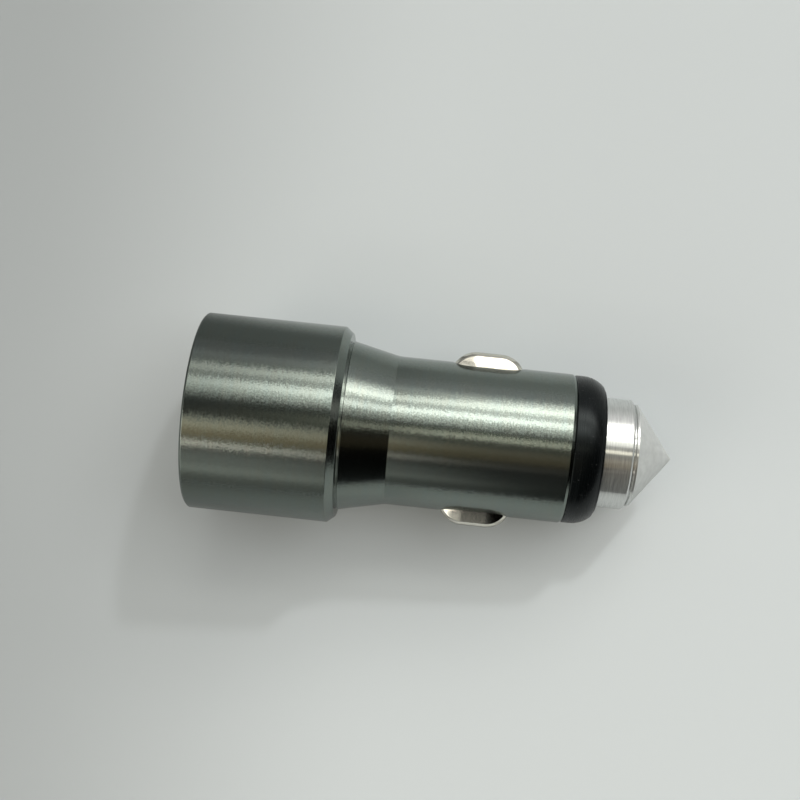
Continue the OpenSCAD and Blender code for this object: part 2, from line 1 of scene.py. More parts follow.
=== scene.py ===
import math
import bpy
from mathutils import Matrix, Vector


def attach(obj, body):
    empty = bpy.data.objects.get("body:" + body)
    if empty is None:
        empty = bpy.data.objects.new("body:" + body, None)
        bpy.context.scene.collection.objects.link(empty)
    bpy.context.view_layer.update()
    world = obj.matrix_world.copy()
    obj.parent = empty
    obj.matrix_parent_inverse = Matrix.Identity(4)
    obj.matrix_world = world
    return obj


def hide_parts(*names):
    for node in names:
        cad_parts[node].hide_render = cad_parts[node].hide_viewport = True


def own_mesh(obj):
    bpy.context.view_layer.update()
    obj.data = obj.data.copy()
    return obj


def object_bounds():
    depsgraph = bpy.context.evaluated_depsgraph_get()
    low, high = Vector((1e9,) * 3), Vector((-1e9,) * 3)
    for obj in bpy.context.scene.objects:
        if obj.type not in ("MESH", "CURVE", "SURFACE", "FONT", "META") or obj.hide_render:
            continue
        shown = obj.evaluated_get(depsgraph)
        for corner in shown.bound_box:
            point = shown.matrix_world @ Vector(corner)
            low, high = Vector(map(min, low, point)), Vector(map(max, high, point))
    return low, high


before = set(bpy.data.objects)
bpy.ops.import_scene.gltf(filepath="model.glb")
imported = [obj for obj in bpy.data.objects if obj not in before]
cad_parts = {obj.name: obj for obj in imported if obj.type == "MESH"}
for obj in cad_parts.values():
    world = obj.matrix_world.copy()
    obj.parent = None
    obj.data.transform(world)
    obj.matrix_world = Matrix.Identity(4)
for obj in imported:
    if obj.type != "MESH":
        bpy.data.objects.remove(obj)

cadLow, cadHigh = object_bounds()
print("stage: frame loaded")

# How the plug lies: its turning axis dips towards the tip, in degrees and millimetres
layValues = {
    "tilt": 5.830792,
    "lift": 15.661885,
    "middle": 32.273042,
}
tilt = math.radians(layValues["tilt"])
axisDirection = Vector((math.cos(tilt), 0, -math.sin(tilt)))
axisOrigin = Vector((-layValues["middle"], 0, layValues["lift"])) / 1000


# Small helpers for building node trees
def addNode(tree, kind, settings=None, inputs=None):
    node = tree.nodes.new(kind)
    for name, value in (settings or {}).items():
        setattr(node, name, value)
    for name, value in (inputs or {}).items():
        setInput(tree, node.inputs[name], value)
    return node


def setInput(tree, socket, value):
    if isinstance(value, bpy.types.NodeSocket):
        tree.links.new(value, socket)
    else:
        socket.default_value = value


def calc(tree, operation, *values, clamp=False):
    node = addNode(tree, "ShaderNodeMath", {"operation": operation, "use_clamp": clamp})
    for index, value in enumerate(values):
        setInput(tree, node.inputs[index], value)
    return node.outputs[0]


def vectorCalc(tree, operation, *values, out=0):
    node = addNode(tree, "ShaderNodeVectorMath", {"operation": operation})
    for index, value in enumerate(values):
        setInput(tree, node.inputs[index], value)
    return node.outputs[out]


def remap(tree, value, fromMin, fromMax, toMin, toMax, kind="LINEAR"):
    node = addNode(tree, "ShaderNodeMapRange", {"interpolation_type": kind}, {
        "Value": value, "From Min": fromMin, "From Max": fromMax, "To Min": toMin, "To Max": toMax})
    return node.outputs[0]


def blendColour(tree, share, first, second, mode="MIX"):
    node = addNode(tree, "ShaderNodeMix", {"data_type": "RGBA", "blend_type": mode})
    setInput(tree, node.inputs[0], share)
    setInput(tree, node.inputs[6], first)
    setInput(tree, node.inputs[7], second)
    return node.outputs[2]


def noise(tree, vector, scale, detail=2.0, roughness=0.5):
    node = addNode(tree, "ShaderNodeTexNoise", None, {
        "Vector": vector, "Scale": scale, "Detail": detail, "Roughness": roughness})
    return node.outputs[0]


def scaled(tree, vector, x, y, z):
    return vectorCalc(tree, "MULTIPLY", vector, (x, y, z))


def makeMaterial(name):
    material = bpy.data.materials.new(name)
    material.use_nodes = True
    tree = material.node_tree
    tree.nodes.clear()
    return material, tree


def closeMaterial(tree, surface):
    output = addNode(tree, "ShaderNodeOutputMaterial")
    tree.links.new(surface, output.inputs["Surface"])


# Millimetres in the turning frame: x to the underside, y across, z along the axis from the rim
def turningFrame(tree):
    coordinates = addNode(tree, "ShaderNodeTexCoord").outputs["Object"]
    turn = Matrix.Rotation(-(math.pi / 2 + tilt), 3, "Y")
    shift = turn @ (axisOrigin * -1000)
    mapping = addNode(tree, "ShaderNodeMapping", {"vector_type": "POINT"}, {
        "Vector": coordinates, "Location": tuple(shift),
        "Rotation": (0, -(math.pi / 2 + tilt), 0), "Scale": (1000, 1000, 1000)})
    return mapping.outputs[0]


def roundTangent(tree):
    coordinates = addNode(tree, "ShaderNodeTexCoord").outputs["Object"]
    arm = vectorCalc(tree, "SUBTRACT", coordinates, tuple(axisOrigin))
    return vectorCalc(tree, "NORMALIZE", vectorCalc(tree, "CROSS_PRODUCT", tuple(axisDirection), arm))


# Share 0 to 1 of a noise that is drawn out round the axis: length round it and width along it in mm
def turningLines(tree, place, length, width, detail=2.0):
    drawn = scaled(tree, place, 1 / length, 1 / length, 1 / width)
    return noise(tree, drawn, 1.0, detail, 0.6)


def stretched(tree, vector, amount):
    longer = vectorCalc(tree, "SCALE", vector)
    setInput(tree, longer.node.inputs["Scale"], amount)
    return longer


# A value that a noise carries from a share below it to a share above it
def spreadOver(tree, grain, middle, below, above):
    return remap(tree, grain, 0.3, 0.7, middle * (1 - below), middle * (1 + above))


# The surface's direction, rocked a little round the axis from line to line
def rockedNormal(tree, normal, tangent, lines, amount):
    rock = remap(tree, lines, 0.25, 0.75, -amount, amount)
    return vectorCalc(tree, "NORMALIZE", vectorCalc(tree, "ADD", normal, stretched(tree, tangent, rock)))


# The surface's direction with the bend between neck and barrel drawn as a crisp edge
def crispNormal(tree, place, values):
    smooth = addNode(tree, "ShaderNodeNewGeometry").outputs["Normal"]
    coordinates = addNode(tree, "ShaderNodeTexCoord").outputs["Object"]
    arm = vectorCalc(tree, "SUBTRACT", coordinates, tuple(axisOrigin))
    reach = vectorCalc(tree, "DOT_PRODUCT", arm, tuple(axisDirection), out=1)
    flat = vectorCalc(tree, "SUBTRACT", arm, stretched(tree, tuple(axisDirection), reach))
    outward = vectorCalc(tree, "NORMALIZE", flat)
    along = addNode(tree, "ShaderNodeSeparateXYZ", None, {0: place}).outputs[2]
    onNeck = calc(tree, "LESS_THAN", along, values["bendAlong"])
    lean = calc(tree, "MULTIPLY", onNeck, values["neckLean"])
    crisp = vectorCalc(tree, "NORMALIZE", vectorCalc(
        tree, "ADD", outward, stretched(tree, tuple(axisDirection), lean)))
    near = calc(tree, "LESS_THAN", calc(tree, "ABSOLUTE", calc(tree, "SUBTRACT", along, values["bendAlong"])),
                values["bendReach"])
    outer = calc(tree, "GREATER_THAN", vectorCalc(tree, "LENGTH", flat, out=1), values["bendRadius"] / 1000)
    return blendColour(tree, calc(tree, "MULTIPLY", near, outer), smooth, crisp)


# Turned metal of the body
shellValues = {
    "colour": (0.226, 0.265, 0.246, 1),
    "warmColour": (0.234, 0.262, 0.236, 1),
    "toneLength": 6.0,
    "toneWidth": 0.8,
    "roughness": 0.17,
    "roughnessSpread": 0.1,
    "anisotropy": 0.4,
    "lineLength": 0.9,
    "lineWidth": 0.17,
    "rocking": 0.012,
    "grainSize": 0.22,
    "grainRocking": 0.03,
    "speckleSize": 0.2,
    "speckle": 0.14,
    "bendAlong": 27.35,
    "bendReach": 0.62,
    "bendRadius": 10.2,
    "neckLean": 0.225,
}


def shellMetal(values):
    material, tree = makeMaterial("turned dark metal")
    place = turningFrame(tree)
    tangent = roundTangent(tree)
    lines = turningLines(tree, place, values["lineLength"], values["lineWidth"])
    broad = turningLines(tree, place, values["toneLength"], values["toneWidth"])
    speckle = noise(tree, place, 1 / values["speckleSize"], 3.0, 0.7)
    tone = blendColour(tree, remap(tree, broad, 0.3, 0.7, 0, 1), values["colour"], values["warmColour"])
    dark = remap(tree, speckle, 0.35, 0.7, 1.0, 1.0 - values["speckle"])
    colour = vectorCalc(tree, "MULTIPLY", tone, dark)
    rough = spreadOver(tree, lines, values["roughness"], values["roughnessSpread"], values["roughnessSpread"])
    grain = noise(tree, place, 1 / values["grainSize"], 1.0, 0.5)
    normal = rockedNormal(tree, crispNormal(tree, place, values), tangent, lines, values["rocking"])
    normal = rockedNormal(tree, normal, tangent, grain, values["grainRocking"])
    shader = addNode(tree, "ShaderNodeBsdfPrincipled", None, {
        "Base Color": colour, "Metallic": 1.0, "Roughness": rough,
        "Anisotropic": values["anisotropy"], "Tangent": tangent, "Normal": normal})
    closeMaterial(tree, shader.outputs[0])
    return material


# Hard tip: polished cylinder, matt point
tipValues = {
    "colour": (0.79, 0.805, 0.795, 1),
    "pointColour": (0.74, 0.76, 0.75, 1),
    "roughness": 0.11,
    "scatter": 0.5,
    "scatterShare": 0.45,
    "lineLength": 2.5,
    "lineWidth": 0.2,
    "rocking": 0.012,
    "pointStart": 60.86,
    "pointEdge": 0.03,
    "pointMetal": 0.55,
    "pointRoughness": 0.5,
    "pointGrain": 0.012,
    "pointGrainSize": 0.2,
    "mottleScale": 0.9,
}


def tipMetal(values):
    material, tree = makeMaterial("polished and blasted metal")
    place = turningFrame(tree)
    tangent = roundTangent(tree)
    lines = turningLines(tree, place, values["lineLength"], values["lineWidth"])
    flat = addNode(tree, "ShaderNodeNewGeometry").outputs["Normal"]
    normal = rockedNormal(tree, flat, tangent, lines, values["rocking"])
    mirror = addNode(tree, "ShaderNodeBsdfPrincipled", None, {
        "Base Color": values["colour"], "Metallic": 1.0, "Roughness": values["roughness"], "Normal": normal})
    haze = addNode(tree, "ShaderNodeBsdfPrincipled", None, {
        "Base Color": values["colour"], "Metallic": 1.0, "Roughness": values["scatter"]})
    share = spreadOver(tree, lines, values["scatterShare"], 0.25, 0.25)
    turned = addNode(tree, "ShaderNodeMixShader", None, {0: share, 1: mirror.outputs[0], 2: haze.outputs[0]})
    grain = noise(tree, place, 1 / values["pointGrainSize"], 4.0, 0.7)
    mottle = noise(tree, place, values["mottleScale"])
    bump = addNode(tree, "ShaderNodeBump", None, {
        "Strength": 0.5, "Distance": values["pointGrain"] / 1000, "Height": grain})
    tone = vectorCalc(tree, "MULTIPLY", values["pointColour"][:3], remap(tree, mottle, 0.3, 0.7, 0.92, 1.05))
    point = addNode(tree, "ShaderNodeBsdfPrincipled", None, {
        "Base Color": tone, "Metallic": values["pointMetal"], "Roughness": values["pointRoughness"],
        "Normal": bump.outputs[0]})
    along = addNode(tree, "ShaderNodeSeparateXYZ", None, {0: place}).outputs[2]
    start, edge = values["pointStart"], values["pointEdge"]
    mask = remap(tree, along, start - edge, start + edge, 0, 1)
    both = addNode(tree, "ShaderNodeMixShader", None, {0: mask, 1: turned.outputs[0], 2: point.outputs[0]})
    closeMaterial(tree, both.outputs[0])
    return material


# Black collar with fine scratches
collarValues = {
    "colour": (0.0015, 0.002, 0.0022, 1),
    "roughness": 0.27,
    "specular": 0.25,
    "sheenTone": (0.86, 0.97, 1.0, 1),
    "ringLength": 5.0,
    "ringWidth": 0.15,
    "scratchFrom": 0.66,
    "scratchTo": 0.72,
    "scratchRoughness": 0.45,
    "scratchTone": 0.05,
    "waviness": 0.004,
}


def collarPlastic(values):
    material, tree = makeMaterial("black collar plastic")
    place = turningFrame(tree)
    rings = turningLines(tree, place, values["ringLength"], values["ringWidth"])
    scratch = noise(tree, scaled(tree, place, 3.5, 3.5, 0.7), 1.6, 3.0, 0.65)
    marks = remap(tree, scratch, values["scratchFrom"], values["scratchTo"], 0, 1)
    rough = spreadOver(tree, rings, values["roughness"], 0.2, 0.2)
    rough = calc(tree, "ADD", rough, calc(tree, "MULTIPLY", marks, values["scratchRoughness"] - values["roughness"]))
    pale = (values["scratchTone"],) * 3 + (1,)
    colour = blendColour(tree, marks, values["colour"], pale)
    bump = addNode(tree, "ShaderNodeBump", None, {
        "Strength": 0.3, "Distance": values["waviness"] / 1000, "Height": noise(tree, place, 2.5, 3.0, 0.6)})
    shader = addNode(tree, "ShaderNodeBsdfPrincipled", None, {
        "Base Color": colour, "Roughness": rough, "Specular IOR Level": values["specular"],
        "Specular Tint": values["sheenTone"], "Normal": bump.outputs[0]})
    closeMaterial(tree, shader.outputs[0])
    return material


# Nickel plate of the side contacts, with the faint dents of the press
# The light sees their flanks as drafted and a little full, with an even round along the edge;
# lengths in mm, tilts as the sine of the angle at the edge of the round and at the foot
earValues = {
    "colour": (0.88, 0.85, 0.76, 1),
    "roughness": 0.16,
    "fineScale": 7.0,
    "dentSize": 0.5,
    "dentDepth": 0.012,
    "along": 39.8,
    "halfFlat": 1.6,
    "profileRadius": 3.6,
    "profileCentre": 8.4,
    "crownDepth": 0.03,
    "roundWidth": 0.53,
    "roundFade": 0.04,
    "footInset": 2.0,
    "roundTilt": 0.62,
    "edgeTilt": 0.47,
    "footTilt": 0.35,
}


def draftedNormal(tree, place, values):
    spot = addNode(tree, "ShaderNodeSeparateXYZ", None, {0: place}).outputs
    offset = calc(tree, "SUBTRACT", spot[2], values["along"])
    past = calc(tree, "MAXIMUM", calc(tree, "SUBTRACT", calc(tree, "ABSOLUTE", offset), values["halfFlat"]), 0.0)
    past = calc(tree, "MULTIPLY", past, calc(tree, "SIGN", offset))
    height = calc(tree, "SUBTRACT", calc(tree, "ABSOLUTE", spot[1]), values["profileCentre"])
    reach = calc(tree, "SQRT", calc(tree, "ADD", calc(tree, "POWER", calc(tree, "ABSOLUTE", past), 2.0),
                                    calc(tree, "POWER", height, 2.0)))
    across = vectorCalc(tree, "ADD", stretched(tree, tuple(axisDirection), past),
                        stretched(tree, (0, 1, 0), calc(tree, "MULTIPLY", height, calc(tree, "SIGN", spot[1]))))
    outward = vectorCalc(tree, "NORMALIZE", across)
    inset = calc(tree, "MAXIMUM", calc(
        tree, "SUBTRACT", values["profileRadius"] - values["crownDepth"], reach), 0.0)
    width, fade = values["roundWidth"], values["roundFade"]
    edge = remap(tree, inset, 0.0, width, 1.0, values["roundTilt"])
    full = remap(tree, inset, width, values["footInset"], values["edgeTilt"], values["footTilt"])
    onFlank = remap(tree, inset, width - fade, width + fade, 0, 1)
    turn = calc(tree, "ADD", edge, calc(tree, "MULTIPLY", onFlank, calc(tree, "SUBTRACT", full, edge)))
    rest = calc(tree, "SQRT", calc(tree, "SUBTRACT", 1.0, calc(tree, "POWER", turn, 2.0)))
    down = (-math.sin(tilt), 0, -math.cos(tilt))
    flank = stretched(tree, down, calc(tree, "MULTIPLY", rest, calc(tree, "SIGN", spot[0])))
    return vectorCalc(tree, "NORMALIZE", vectorCalc(tree, "ADD", stretched(tree, outward, turn), flank))


def earNickel(values):
    material, tree = makeMaterial("pressed nickel plate")
    place = turningFrame(tree)
    dents = noise(tree, place, 1 / values["dentSize"])
    fine = noise(tree, place, values["fineScale"])
    bump = addNode(tree, "ShaderNodeBump", None, {
        "Strength": 0.6, "Distance": values["dentDepth"] / 1000, "Height": dents,
        "Normal": draftedNormal(tree, place, values)})
    rough = spreadOver(tree, fine, values["roughness"], 0.3, 0.5)
    shader = addNode(tree, "ShaderNodeBsdfPrincipled", None, {
        "Base Color": values["colour"], "Metallic": 1.0, "Roughness": rough, "Normal": bump.outputs[0]})
    closeMaterial(tree, shader.outputs[0])
    return material


# Simple finishes with their own grain
finishValues = {
    "face_plastic": {"colour": (0.018, 0.018, 0.02, 1), "roughness": 0.5, "metallic": 0, "grain": 6.0, "depth": 0.01},
    "port_steel": {"colour": (0.66, 0.66, 0.64, 1), "roughness": 0.3, "metallic": 1, "grain": 1.6, "depth": 0.0005},
    "tongue_plastic": {"colour": (0.8, 0.8, 0.76, 1), "roughness": 0.4, "metallic": 0, "grain": 4.0, "depth": 0.004},
    "contact_gold": {"colour": (0.85, 0.6, 0.25, 1), "roughness": 0.24, "metallic": 1, "grain": 3.0, "depth": 0.0005},
    "guide_clear": {"colour": (0.85, 0.9, 0.92, 1), "roughness": 0.15, "metallic": 0, "grain": 2.0, "depth": 0.002},
    "led_resin": {"colour": (0.9, 0.8, 0.4, 1), "roughness": 0.3, "metallic": 0, "grain": 4.0, "depth": 0.002},
    "board_green": {"colour": (0.02, 0.14, 0.06, 1), "roughness": 0.35, "metallic": 0, "grain": 3.0, "depth": 0.004},
    "ferrite": {"colour": (0.05, 0.05, 0.052, 1), "roughness": 0.6, "metallic": 0, "grain": 12.0, "depth": 0.01},
    "copper_wire": {"colour": (0.6, 0.22, 0.08, 1), "roughness": 0.3, "metallic": 1, "grain": 6.0, "depth": 0.002},
    "can_sleeve": {"colour": (0.02, 0.025, 0.06, 1), "roughness": 0.3, "metallic": 0, "grain": 2.0, "depth": 0.002},
    "chip_black": {"colour": (0.02, 0.02, 0.022, 1), "roughness": 0.55, "metallic": 0, "grain": 14.0, "depth": 0.004},
    "chip_tan": {"colour": (0.35, 0.24, 0.13, 1), "roughness": 0.45, "metallic": 0, "grain": 10.0, "depth": 0.003},
    "carrier_plastic": {"colour": (0.7, 0.7, 0.66, 1), "roughness": 0.45, "metallic": 0, "grain": 4.0, "depth": 0.006},
    "spring_steel": {"colour": (0.55, 0.55, 0.56, 1), "roughness": 0.25, "metallic": 1, "grain": 6.0, "depth": 0.001},
    "fastener_steel": {"colour": (0.6, 0.61, 0.62, 1), "roughness": 0.3, "metallic": 1, "grain": 6.0, "depth": 0.001},
}


def grainedFinish(name, values):
    material, tree = makeMaterial(name)
    place = turningFrame(tree)
    grain = noise(tree, place, values["grain"], 3.0, 0.6)
    rough = spreadOver(tree, grain, values["roughness"], 0.15, 0.2)
    bump = addNode(tree, "ShaderNodeBump", None, {
        "Strength": 0.4, "Distance": values["depth"] / 1000, "Height": grain})
    shader = addNode(tree, "ShaderNodeBsdfPrincipled", None, {
        "Base Color": values["colour"], "Metallic": float(values["metallic"]), "Roughness": rough,
        "Normal": bump.outputs[0]})
    closeMaterial(tree, shader.outputs[0])
    return material


slotMaterials = {
    "shell_metal": shellMetal(shellValues),
    "tip_metal": tipMetal(tipValues),
    "collar_plastic": collarPlastic(collarValues),
    "ear_nickel": earNickel(earValues),
}
for slotName, values in finishValues.items():
    slotMaterials[slotName] = grainedFinish(slotName.replace("_", " "), values)

for nodeName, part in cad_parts.items():
    slotName = part.data.materials[0].name.split(".")[0]
    part.data.materials[0] = slotMaterials[slotName]
print("stage: finishes on", len(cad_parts), "pieces")

# Springs of the side contacts, wound along a path
springValues = {
    "turns": 7.0,
    "wireRadius": 0.3,
    "coilRadius": 1.75,
    "low": 0.92,
    "high": 11.28,
    "restingShare": 0.8,
    "along": 39.8,
    "stepsPerTurn": 40,
    "sidesOfWire": 14,
    "foot": 0.6,
    "keep": 9.4 / 11.0,
}


def springTree():
    tree = bpy.data.node_groups.new("woundSpring", "GeometryNodeTree")
    face = tree.interface
    for name, kind in (("Turns", "Float"), ("Wire Radius", "Float"), ("Coil Radius", "Float"),
                       ("Low", "Float"), ("High", "Float"), ("Resting Turns", "Float"),
                       ("Steps Per Turn", "Int"), ("Sides", "Int"), ("Finish", "Material")):
        face.new_socket(name=name, in_out="INPUT", socket_type="NodeSocket" + kind)
    face.new_socket(name="Geometry", in_out="OUTPUT", socket_type="NodeSocketGeometry")
    given = addNode(tree, "NodeGroupInput").outputs
    spiral = addNode(tree, "GeometryNodeCurveSpiral", None, {
        "Resolution": given["Steps Per Turn"], "Rotations": given["Turns"], "Height": 0.0,
        "Start Radius": given["Coil Radius"], "End Radius": given["Coil Radius"]})
    along = addNode(tree, "GeometryNodeSplineParameter").outputs["Factor"]
    turn = calc(tree, "MULTIPLY", along, given["Turns"])
    free = calc(tree, "SUBTRACT", given["Turns"], calc(tree, "MULTIPLY", given["Resting Turns"], 2.0))
    share = calc(tree, "DIVIDE", calc(tree, "SUBTRACT", turn, given["Resting Turns"]), free, clamp=True)
    rise = calc(tree, "MULTIPLY", share, calc(tree, "SUBTRACT", given["High"], given["Low"]))
    height = calc(tree, "ADD", given["Low"], rise)
    offset = addNode(tree, "ShaderNodeCombineXYZ", None, {"Z": height}).outputs[0]
    placed = addNode(tree, "GeometryNodeSetPosition", None, {
        "Geometry": spiral.outputs[0], "Offset": offset}).outputs[0]
    wire = addNode(tree, "GeometryNodeCurvePrimitiveCircle", None, {
        "Resolution": given["Sides"], "Radius": given["Wire Radius"]}).outputs[0]
    wound = addNode(tree, "GeometryNodeCurveToMesh", None, {
        "Curve": placed, "Profile Curve": wire, "Fill Caps": True}).outputs[0]
    smooth = addNode(tree, "GeometryNodeSetShadeSmooth", None, {"Geometry": wound}).outputs[0]
    real = addNode(tree, "GeometryNodeRealizeInstances", None, {"Geometry": smooth}).outputs[0]
    finish = addNode(tree, "GeometryNodeSetMaterial", None, {
        "Geometry": real, "Material": given["Finish"]}).outputs[0]
    addNode(tree, "NodeGroupOutput", None, {"Geometry": finish})
    return tree


def makeSpring(name, side, tree, values):
    mesh = bpy.data.meshes.new(name)
    maker = bpy.data.objects.new(name + "Maker", mesh)
    bpy.context.scene.collection.objects.link(maker)
    modifier = maker.modifiers.new("wind", "NODES")
    modifier.node_group = tree
    chosen = {
        "Turns": values["turns"], "Wire Radius": values["wireRadius"], "Coil Radius": values["coilRadius"],
        "Low": values["low"], "High": values["high"], "Resting Turns": values["restingShare"],
        "Steps Per Turn": values["stepsPerTurn"], "Sides": values["sidesOfWire"],
        "Finish": slotMaterials["spring_steel"]}
    for item in tree.interface.items_tree:
        if item.in_out == "INPUT":
            modifier[item.identifier] = chosen[item.name]
    bpy.context.view_layer.update()
    shape = maker.evaluated_get(bpy.context.evaluated_depsgraph_get())
    wound = bpy.data.meshes.new_from_object(shape)
    bpy.data.objects.remove(maker)
    centre = axisOrigin + axisDirection * values["along"] / 1000
    stand = Matrix.Rotation(-side * math.pi / 2, 4, "X")
    wound.transform(Matrix.Translation(centre) @ stand @ Matrix.Scale(0.001, 4))
    spring = bpy.data.objects.new(name, wound)
    bpy.context.scene.collection.objects.link(spring)
    spring.data.update()
    return spring, centre


windTree = springTree()
for side, hand in ((1, "left"), (-1, "right")):
    spring, centre = makeSpring(hand + "EarSpring", side, windTree, springValues)
    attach(spring, "charger")
    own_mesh(spring)
    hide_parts("ear_spring_" + hand)
print("stage: springs wound")

# Plain pale table with painted shade: its colour darkens to the left and towards the back and lightens towards the
# front, the way the lamps' light falls off
# In what the metal mirrors, the "near" and "far" values paint shadow on the table close by in front and paint shade on
# it a long way off
floorValues = {
    "size": 1.2,
    "colour": (0.635, 0.675, 0.685, 1),
    "roughness": 0.6,
    "specular": 0.2,
    "leftStart": -0.075,
    "leftEnd": 0.0,
    "leftPaintedShade": 0.68,
    "backPaintedShade": 0.93,
    "frontPaintedLight": 1.07,
    "depth": 0.06,
    "nearFrontPaintedShadow": 0.72,
    "nearFrontStart": -0.002,
    "nearFrontEnd": -0.01,
    "farStart": 0.02,
    "farEnd": 0.06,
    "backFarPaintedShade": (0.36, 0.56),
    "frontFarPaintedShade": (0.6, 0.83),
    "rimHeading": -0.2,
    "tipHeading": 0.05,
    "sideFade": 0.1,
}


def makeFloor(values):
    half = values["size"]
    mesh = bpy.data.meshes.new("table top")
    mesh.from_pydata([(-half, -half, 0), (half, -half, 0), (half, half, 0), (-half, half, 0)], [], [(0, 1, 2, 3)])
    floor = bpy.data.objects.new("tableTop", mesh)
    floor.location.z = cadLow.z
    bpy.context.scene.collection.objects.link(floor)
    material, tree = makeMaterial("pale table")
    place = addNode(tree, "ShaderNodeTexCoord").outputs["Object"]
    spot = addNode(tree, "ShaderNodeSeparateXYZ", None, {0: place}).outputs
    # Painted shade and light: the colour is darkened to the left and towards the back and lightened towards the front
    left = remap(tree, spot[0], values["leftStart"], values["leftEnd"], values["leftPaintedShade"], 1.0, "SMOOTHSTEP")
    back = remap(tree, spot[1], -values["depth"], values["depth"], values["frontPaintedLight"], values["backPaintedShade"])
    heading = addNode(tree, "ShaderNodeSeparateXYZ", None, {0: vectorCalc(tree, "NORMALIZE", place)}).outputs
    distance = vectorCalc(tree, "LENGTH", place, out=1)
    # Painted shade, in mirrored rays only: the table a long way off is darkened, more on the back side and towards the
    # rim
    paintedFarShades = [remap(tree, heading[0], values["rimHeading"], values["tipHeading"], *values[key], "SMOOTHSTEP")
             for key in ("frontFarPaintedShade", "backFarPaintedShade")]
    side = remap(tree, heading[1], -values["sideFade"], values["sideFade"], 0, 1, "SMOOTHSTEP")
    paintedFarShade = calc(tree, "ADD", paintedFarShades[0], calc(tree, "MULTIPLY", side, calc(tree, "SUBTRACT", paintedFarShades[1], paintedFarShades[0])))
    farPaintedShadeShare = remap(tree, distance, values["farStart"], values["farEnd"], 0, 1, "SMOOTHSTEP")
    mirrored = addNode(tree, "ShaderNodeLightPath").outputs["Is Glossy Ray"]
    share = calc(tree, "MULTIPLY", farPaintedShadeShare, mirrored)
    # Painted shadow, in mirrored rays only: the table close in front of the plug is darkened
    near = remap(tree, spot[1], values["nearFrontStart"], values["nearFrontEnd"], 1.0, values["nearFrontPaintedShadow"])
    near = calc(tree, "ADD", 1.0, calc(tree, "MULTIPLY", mirrored, calc(tree, "SUBTRACT", near, 1.0)))
    tone = calc(tree, "ADD", near, calc(tree, "MULTIPLY", share, calc(tree, "SUBTRACT", paintedFarShade, near)))
    shader = addNode(tree, "ShaderNodeBsdfPrincipled", None, {
        "Base Color": vectorCalc(tree, "MULTIPLY", vectorCalc(tree, "MULTIPLY", values["colour"][:3], tone),
                                 calc(tree, "MULTIPLY", left, back)),
        "Roughness": values["roughness"], "Specular IOR Level": values["specular"]})
    closeMaterial(tree, shader.outputs[0])
    mesh.materials.append(material)
    return floor


makeFloor(floorValues)

# The room round the plug, as soft bands of light over the turning axis
# Each band: middle and half width in degrees from the zenith towards the far side,
# softness of its edge in degrees, its strength towards the rim, the middle, the barrel and
# the tip, as seen mirrored there, and its colour
# The window past the rim, which only the head's end mirrors: middle, half width, softness,
# strength and colour
roomValues = {
    "bands": [
        (35, 1.5, 5, (0.6, 2.8, 4.3, 3.4), (1.0, 0.98, 0.93)),
        (31, 3, 11, (0.55, 1.65, 0.55, 0.2), (1.0, 1.0, 0.93)),
        (52, 2, 5, (0.98, 2.9, 3.3, 3.0), (1.0, 0.97, 0.9)),
        (60, 3, 7, (0.0, 0.0, 2.5, 2.7), (1.0, 0.96, 0.9)),
        (45, 13, 7, (0.18, 0.4, 1.2, 0.75), (1.0, 1.0, 0.94)),
        (23, 4, 5, (0.2, 0.4, 0.9, 0.65), (1.0, 1.0, 0.9)),
        (67, 3, 6, (0.2, 0.5, 0.3, 0.3), (1.0, 1.0, 0.97)),
        (82, 12, 8, (0.2, 0.5, 0.5, 0.5), (1.0, 1.0, 1.0)),
        (4, 1.4, 3.8, (0.0, 0.2, 1.7, 0.9), (1.0, 0.95, 0.77)),
        (-12, 4, 6, (0.56, 0.45, 0.1, 0.0), (1.0, 0.96, 0.84)),
        (-20, 6, 7, (0.44, 0.34, 0.14, 0.04), (1.1, 0.85, 0.5)),
        (-37, 1, 4, (2.1, 1.05, 0.1, 0.0), (1.0, 0.9, 0.8)),
        (-60, 8, 12, (0.36, 0.24, 0.02, 0.0), (1.0, 1.0, 0.92)),
        (-76, 8, 8, (0.2, 0.1, 0.0, 0.0), (1.0, 1.0, 0.9)),
        (-91, 1.2, 2, (0.28, 0.6, 0.38, 0.4), (1.0, 1.0, 1.0)),
        (0, 180, 1, (0.03, 0.02, 0.02, 0.0), (0.9, 1.0, 1.0)),
    ],
    "stations": (-0.11, 0.02, 0.11, 0.42),
    "rimWindow": (-45, 30, 15, 1.6, (1.0, 0.98, 0.93)),
    "rimWindowStart": -0.35,
    "rimWindowEnd": -0.6,
    "tipEndStart": 0.55,
    "tipEnd": 0.9,
    "tipEndTone": 0.12,
    "onTable": 0.5,
    "seen": (0.6, 0.6, 0.6, 1),
}


# The strength at a place along the axis, eased from each station to the next
def easedStrength(tree, along, stations, strengths):
    total = strengths[0]
    for index in range(1, len(stations)):
        step = strengths[index] - strengths[index - 1]
        if step:
            total = calc(tree, "ADD", total, remap(
                tree, along, stations[index - 1], stations[index], 0.0, step, "SMOOTHSTEP"))
    return total


def bandShare(tree, angle, middle, half, soft):
    offset = calc(tree, "ABSOLUTE", calc(tree, "SUBTRACT", angle, float(middle)))
    return remap(tree, offset, float(half), float(half + soft), 1.0, 0.0, "SMOOTHSTEP")


def bandSum(tree, angle, along, values):
    middle, half, soft, strength, tone = values["rimWindow"]
    ending = remap(tree, along, values["rimWindowEnd"], values["rimWindowStart"], strength, 0.0, "SMOOTHSTEP")
    total = vectorCalc(tree, "MULTIPLY", calc(
        tree, "MULTIPLY", ending, bandShare(tree, angle, middle, half, soft)), tone)
    for middle, half, soft, strengths, tone in values["bands"]:
        share = bandShare(tree, angle, middle, half, soft)
        strength = calc(tree, "MULTIPLY", share, easedStrength(tree, along, values["stations"], strengths))
        colour = vectorCalc(tree, "MULTIPLY", strength, tone)
        total = vectorCalc(tree, "ADD", total, colour)
    return total


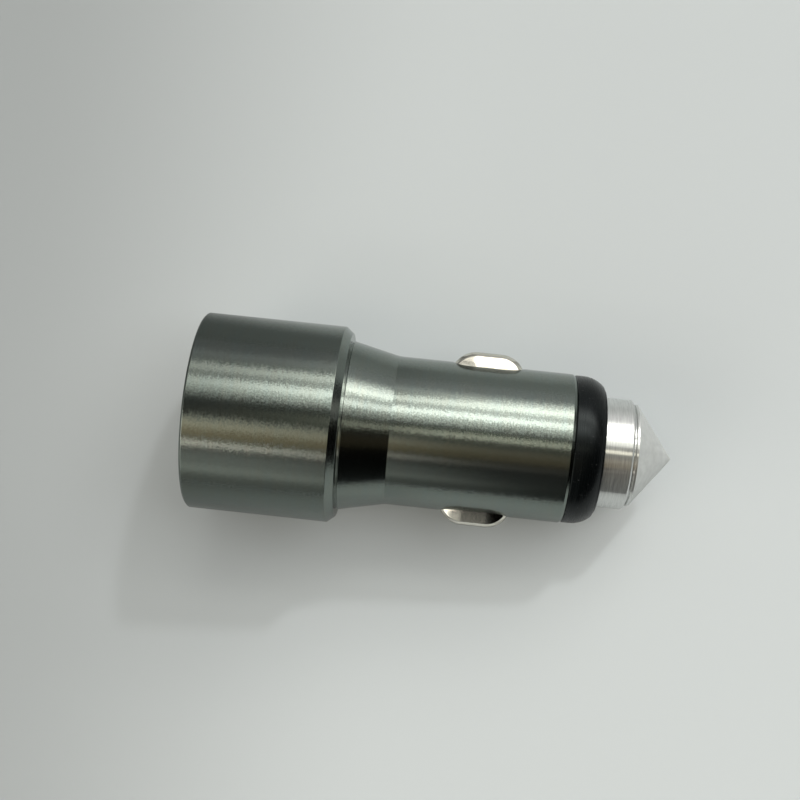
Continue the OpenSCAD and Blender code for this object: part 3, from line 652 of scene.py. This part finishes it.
def makeRoom(values):
    world = bpy.data.worlds.new("soft room")
    world.use_nodes = True
    tree = world.node_tree
    tree.nodes.clear()
    split = addNode(tree, "ShaderNodeSeparateXYZ", None, {
        0: addNode(tree, "ShaderNodeTexCoord").outputs["Generated"]})
    angle = calc(tree, "DEGREES", calc(tree, "ARCTAN2", split.outputs[1], split.outputs[2]))
    bands = bandSum(tree, angle, split.outputs[0], values)
    ending = remap(tree, split.outputs[0], values["tipEndStart"], values["tipEnd"], 1.0, values["tipEndTone"],
                   "SMOOTHSTEP")
    room = vectorCalc(tree, "MULTIPLY", bands, ending)
    rays = addNode(tree, "ShaderNodeLightPath").outputs
    colour = blendColour(tree, rays["Is Camera Ray"], room, values["seen"])
    strength = remap(tree, rays["Is Diffuse Ray"], 0, 1, 1.0, values["onTable"])
    background = addNode(tree, "ShaderNodeBackground", None, {"Color": colour, "Strength": strength})
    output = addNode(tree, "ShaderNodeOutputWorld")
    tree.links.new(background.outputs[0], output.inputs[0])
    bpy.context.scene.world = world


makeRoom(roomValues)

# Soft studio lamps: they light the table and aren't mirrored in the metal
lampValues = {
    "keyLamp": {"place": (0.2, 0.08, 0.36), "size": 0.2, "power": 0.4, "tone": (1.0, 1.0, 0.99)},
    "sideLamp": {"place": (0.2, 0.4, 0.44), "size": 0.035, "power": 0.62, "tone": (1.0, 1.0, 1.0)},
    "fillLamp": {"place": (-0.1, 0.2, 0.6), "size": 0.6, "power": 0.5, "tone": (1.0, 1.0, 1.0)},
}


def makeLamp(name, values):
    lamp = bpy.data.lights.new(name, "AREA")
    lamp.size = values["size"]
    lamp.energy = values["power"]
    lamp.color = values["tone"]
    holder = bpy.data.objects.new(name, lamp)
    holder.location = values["place"]
    holder.rotation_euler = (-Vector(values["place"])).to_track_quat("-Z", "Y").to_euler()
    holder.visible_glossy = False
    bpy.context.scene.collection.objects.link(holder)


for lampName, values in lampValues.items():
    makeLamp(lampName, values)
print("stage: table, room and lamps")

# Camera at the photograph's angle
cameraValues = {
    "lens": 59.44,
    "place": (0.020405, 0.004294, 0.19649),
    "right": (0.98551, 0.10470, -0.13344),
    "up": (-0.10375, 0.99450, 0.01405),
}


def makeCamera(values):
    data = bpy.data.cameras.new("camera")
    data.lens = values["lens"]
    data.sensor_width = 36
    data.clip_start = 0.001
    camera = bpy.data.objects.new("camera", data)
    right = Vector(values["right"]).normalized()
    back = right.cross(Vector(values["up"])).normalized()
    up = back.cross(right)
    turn = Matrix((right, up, back)).transposed().to_4x4()
    camera.matrix_world = Matrix.Translation(values["place"]) @ turn
    bpy.context.scene.collection.objects.link(camera)
    bpy.context.scene.camera = camera


makeCamera(cameraValues)
bpy.context.scene.view_settings.view_transform = "Standard"
